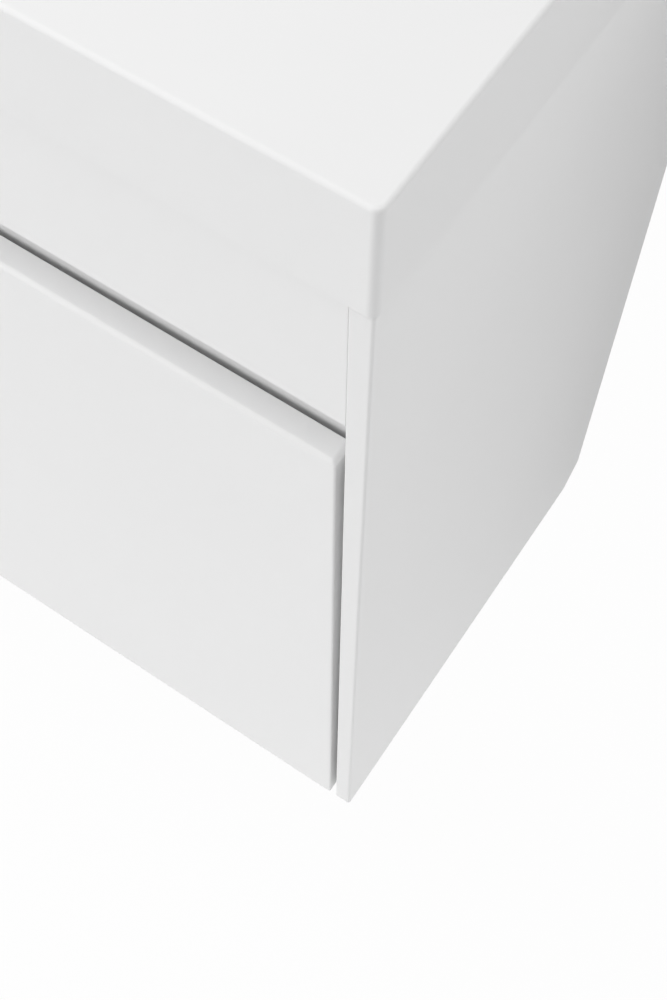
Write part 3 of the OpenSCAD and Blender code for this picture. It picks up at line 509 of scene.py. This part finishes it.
class VanityEdges(bpy.types.PropertyGroup):
    """Sizes of the eased edges."""

    front: length_prop("Drawer front top", "Rounding of the drawer front's top edge", 2.8 * MM)
    end: length_prop("Drawer front ends", "Rounding of the drawer front's other edges", 1.2 * MM)
    side: length_prop("Side panel", "Rounding of a side panel's outer edges", 1.5 * MM)
    inner: length_prop("Side panel inside", "Rounding of a side panel's inner edges", 0.7 * MM)
    fascia: length_prop("Fascia", "Rounding of the fascia's front edges and corners", 0.8 * MM)
    corner: length_prop("Corners", "Rounding of the corners of the side panels and the front",
                        3.2 * MM)
    sharp: length_prop("Sharp edges", "Rounding of the edges that are left crisp", 0.3 * MM)
    box: length_prop("Drawer box", "Rounding of the edges of the drawer box's sides", 0.9 * MM)
    box_corner: length_prop("Drawer box corners", "Rounding of those sides' corners", 1.0 * MM)
    clip_depth: length_prop("Clip depth", "Depth of the clip at a side panel's lower rear corner",
                            16 * MM)
    clip_height: length_prop("Clip height", "Height of that clip", 20 * MM)


class VanityLight(bpy.types.PropertyGroup):
    """Studio light and camera."""

    sky: bpy.props.FloatProperty(name="Room", description="Strength of the light from all round",
                                 default=0.42, min=0.0)
    key: power_prop("Front light", "Power of the front light", 99.5)
    rim: power_prop("Side light", "Power of the side light", 19.8)
    low: power_prop("Low light", "Power of the light from below", 2.4)
    top: power_prop("Top light", "Power of the top light", 23.2)
    lens: bpy.props.FloatProperty(name="Lens", description="Focal length of the camera",
                                  default=58.51, min=1.0, unit="CAMERA")
    gauze: length_prop("Gauze", "Width of the cloth that shades the side panel's rear", 0.32)
    gauze_cover: share_prop("Gauze cover", "How dense the cloth is", 0.85)
    floor_drop: length_prop("Floor drop", "Height of the cabinet's lower edge over the floor",
                            0.5)


# ---------------------------------------------------------------- operators


class VANITY_OT_stage(bpy.types.Operator):
    """Camera at the photograph's viewpoint, soft studio light and a pale floor"""

    bl_idname = "vanity.stage"
    bl_label = "Studio"

    def execute(self, context):
        light, scene = context.scene.vanity_light, context.scene
        self.camera(scene, light.lens)
        for name, place, size, power in LAMPS:
            lamp = bpy.data.objects.new(name, bpy.data.lights.new(name, "AREA"))
            scene.collection.objects.link(lamp)
            lamp.data.size, lamp.data.energy = size, getattr(light, power)
            lamp.location = place
            aim = Vector(LAMP_TARGET) - Vector(place)
            lamp.rotation_euler = aim.to_track_quat("-Z", "Y").to_euler()
        self.room(scene, light.sky)
        self.floor(context.scene.vanity_colours.floor, CAD_LOW.z - light.floor_drop)
        self.gauze(light.gauze, light.gauze_cover)
        scene.view_settings.view_transform = "Standard"
        return {"FINISHED"}

    def camera(self, scene, lens):
        camera = bpy.data.objects.new("photo_camera", bpy.data.cameras.new("photo_camera"))
        scene.collection.objects.link(camera)
        right, down, ahead = (Vector(v) for v in (CAMERA_RIGHT, CAMERA_DOWN, CAMERA_AHEAD))
        turn = Matrix((right, -down, -ahead)).transposed().to_4x4()
        camera.matrix_world = Matrix.Translation(CAMERA_PLACE) @ turn
        camera.data.lens, camera.data.sensor_width = lens, SENSOR_WIDTH
        camera.data.clip_start = NEAREST_SEEN
        scene.camera = camera

    def room(self, scene, strength):
        """Even light from all round, and plain white where the room itself is seen."""
        world = scene.world = bpy.data.worlds.new("studio_room")
        world.use_nodes = True
        tree = NodeTree(world.node_tree)
        ground = world.node_tree.nodes["Background"]
        tree.join((1.0, 1.0, 1.0, 1.0), ground.inputs["Color"])
        tree.join(tree.seen() * (1.0 - strength) + strength, ground.inputs["Strength"])

    def gauze(self, width, cover):
        """A strip of thin grey cloth along the right rear edge, seen by no camera: it takes
        part of the side light off the rear of the side panel, as a wall behind it does."""
        cloth = studio_paint("grey_gauze", GAUZE_GREY)
        cloth.feed("Alpha", cover)
        near, far, y = CAD_HIGH.x, CAD_HIGH.x + width, CAD_HIGH.y + GAUZE_GAP
        points = np.array([(near, y, CAD_LOW.z), (far, y, CAD_LOW.z),
                           (far, y, CAD_HIGH.z), (near, y, CAD_HIGH.z)])
        normals = np.tile((0.0, -1.0, 0.0), (len(points), 1))
        strip = finished_mesh("grey_gauze", points, [[0, 1, 2, 3]], normals, cloth.material)
        strip.visible_camera = strip.visible_glossy = False

    def floor(self, colour, height):
        """A flat round floor, seen from above only, so that a view from below passes it: rings
        of points whose radius grows as the square of the ring. It shows to the camera as white
        with a little of the paint, which keeps the shadow."""
        paint = studio_paint("studio_paint", tuple(colour))
        matt = Socket(paint, paint.principled.outputs[0])
        white = paint.add("ShaderNodeEmission", {}, Strength=1.0)
        above = paint.add("ShaderNodeMixShader", {}, paint.seen() * FLOOR_WHITE, matt, white)
        below = paint.add("ShaderNodeBsdfTransparent", {})
        side = paint.add("ShaderNodeNewGeometry", {}, out="Backfacing")
        both = paint.add("ShaderNodeMixShader", {}, side, above, below)
        paint.join(both, paint.tree.nodes["Material Output"].inputs["Surface"])
        radius = FLOOR_RADIUS * (np.arange(1, FLOOR_RINGS + 1) / FLOOR_RINGS)[:, None] ** 2
        angle = np.linspace(0, 2 * math.pi, FLOOR_AROUND, endpoint=False)
        points = np.stack([radius * np.cos(angle), radius * np.sin(angle),
                           np.full((FLOOR_RINGS, FLOOR_AROUND), height)], -1).reshape(-1, 3)
        faces = [face[::-1] for face in ring_faces(FLOOR_RINGS, FLOOR_AROUND)]
        faces.append(list(range(FLOOR_AROUND)))
        normals = np.tile((0.0, 0.0, 1.0), (len(points), 1))
        finished_mesh("studio_floor", points, faces, normals, paint.material)


class VANITY_OT_outer_boards(bpy.types.Operator):
    """Side panels, fascia and drawer front, each with its own eased edges"""

    bl_idname = "vanity.outer_boards"
    bl_label = "Outer boards"

    def execute(self, context):
        colours, edges = context.scene.vanity_colours, context.scene.vanity_edges
        carcass = lacquer("carcass_lacquer", tuple(colours.lacquer), colours.lacquer_roughness)
        front = lacquer("front_lacquer", tuple(colours.front), colours.lacquer_roughness)
        low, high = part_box("side_panel_right")
        side_view = [(low.y, low.z), (high.y - edges.clip_depth, low.z),
                     (high.y, low.z + edges.clip_height), (high.y, high.z), (low.y, high.z)]
        for node, ease in (("side_panel_left", (edges.side, edges.inner)),
                           ("side_panel_right", (edges.inner, edges.side))):
            node_board(node, carcass, FACING_SIDE, ease, edges.corner, side_view)
        node_board("fascia_panel", front, FACING_FRONT, (edges.fascia, edges.sharp),
                           edges.fascia)
        arrises = (edges.end, edges.end, edges.front, edges.end)
        node_board("drawer_front", front, FACING_FRONT, (arrises, edges.sharp),
                           edges.corner)
        dress(carcass, *CARCASS_BOARDS)
        return {"FINISHED"}


class VANITY_OT_basin(bpy.types.Operator):
    """Finish of the cast basin top"""

    bl_idname = "vanity.basin"
    bl_label = "Basin top"

    def execute(self, context):
        colours = context.scene.vanity_colours
        dress(cast_resin("cast_resin", tuple(colours.cast), colours.cast_roughness), "basin_top")
        return {"FINISHED"}


class VANITY_OT_drawer_box(bpy.types.Operator):
    """Boards of the drawer box, the dowels, the gallery and the plastic fittings"""

    bl_idname = "vanity.drawer_box"
    bl_label = "Drawer box"

    def execute(self, context):
        colours, edges = context.scene.vanity_colours, context.scene.vanity_edges
        board = foil_board("drawer_foil", tuple(colours.board))
        for node in ("drawer_side_left", "drawer_side_right"):
            node_board(node, board, FACING_SIDE, (edges.box, edges.box),
                               edges.box_corner)
        dress(board, "drawer_box_front", "drawer_back", "drawer_bottom")
        dress(beech("beech", tuple(colours.dowel)), "drawer_dowels", "carcass_dowels")
        dress(chrome_plate("rail_chrome", tuple(colours.chrome)),
              "gallery_rail_left", "gallery_rail_right")
        dress(soft_plastic("fitting_plastic", tuple(colours.plastic), roughness=0.42),
              "gallery_sockets", "hanger_body_left", "hanger_body_right")
        dress(soft_plastic("bumper_gel", tuple(colours.gel), roughness=0.25), "bumper_pads")
        return {"FINISHED"}


class VANITY_OT_waste(bpy.types.Operator):
    """Waste, plug, seals and overflow ring"""

    bl_idname = "vanity.waste"
    bl_label = "Waste"

    def execute(self, context):
        colours = context.scene.vanity_colours
        dress(chrome_plate("waste_chrome", tuple(colours.chrome)),
              "waste_body", "waste_plug", "overflow_ring")
        dress(soft_plastic("seal_rubber", tuple(colours.rubber), roughness=0.6,
                           grain_height=0.04 * MM),
              "waste_seal_upper", "waste_seal_lower", "plug_gasket")
        dress(turned_brass("brass", tuple(colours.brass)), "waste_nut", "plug_cartridge")
        return {"FINISHED"}


class VANITY_OT_fittings(bpy.types.Operator):
    """Plated steel of the runners, screws, brackets and hangers"""

    bl_idname = "vanity.fittings"
    bl_label = "Plated fittings"

    def execute(self, context):
        steel = tuple(context.scene.vanity_colours.steel)
        dress(plated_steel("zinc_plate", steel, roughness=0.32), *PLATED)
        return {"FINISHED"}


OPERATORS = (VANITY_OT_stage, VANITY_OT_outer_boards, VANITY_OT_basin, VANITY_OT_drawer_box,
             VANITY_OT_waste, VANITY_OT_fittings)
GROUPS = {"vanity_colours": VanityColours, "vanity_edges": VanityEdges,
          "vanity_light": VanityLight}


class VANITY_PT_finish(bpy.types.Panel):
    """Colours, edges and light of the vanity, and the steps that make it"""

    bl_label = "Wall hung vanity"
    bl_idname = "VANITY_PT_finish"
    bl_space_type = "VIEW_3D"
    bl_region_type = "UI"
    bl_category = "Vanity"

    def draw(self, context):
        layout = self.layout
        for group in (getattr(context.scene, name) for name in GROUPS):
            box = layout.box()
            for name in group.bl_rna.properties.keys():
                if name not in ("rna_type", "name"):
                    box.prop(group, name)
        for operator in OPERATORS:
            layout.operator(operator.bl_idname)


def register():
    for kind in (*GROUPS.values(), *OPERATORS, VANITY_PT_finish):
        bpy.utils.register_class(kind)
    for name, kind in GROUPS.items():
        setattr(bpy.types.Scene, name, bpy.props.PointerProperty(type=kind))


def unregister():
    for name in GROUPS:
        delattr(bpy.types.Scene, name)
    for kind in (VANITY_PT_finish, *OPERATORS[::-1], *GROUPS.values()):
        bpy.utils.unregister_class(kind)


def main():
    register()
    for operator in OPERATORS:
        group, name = operator.bl_idname.split(".")
        getattr(getattr(bpy.ops, group), name)()


if __name__ == "__main__":
    main()
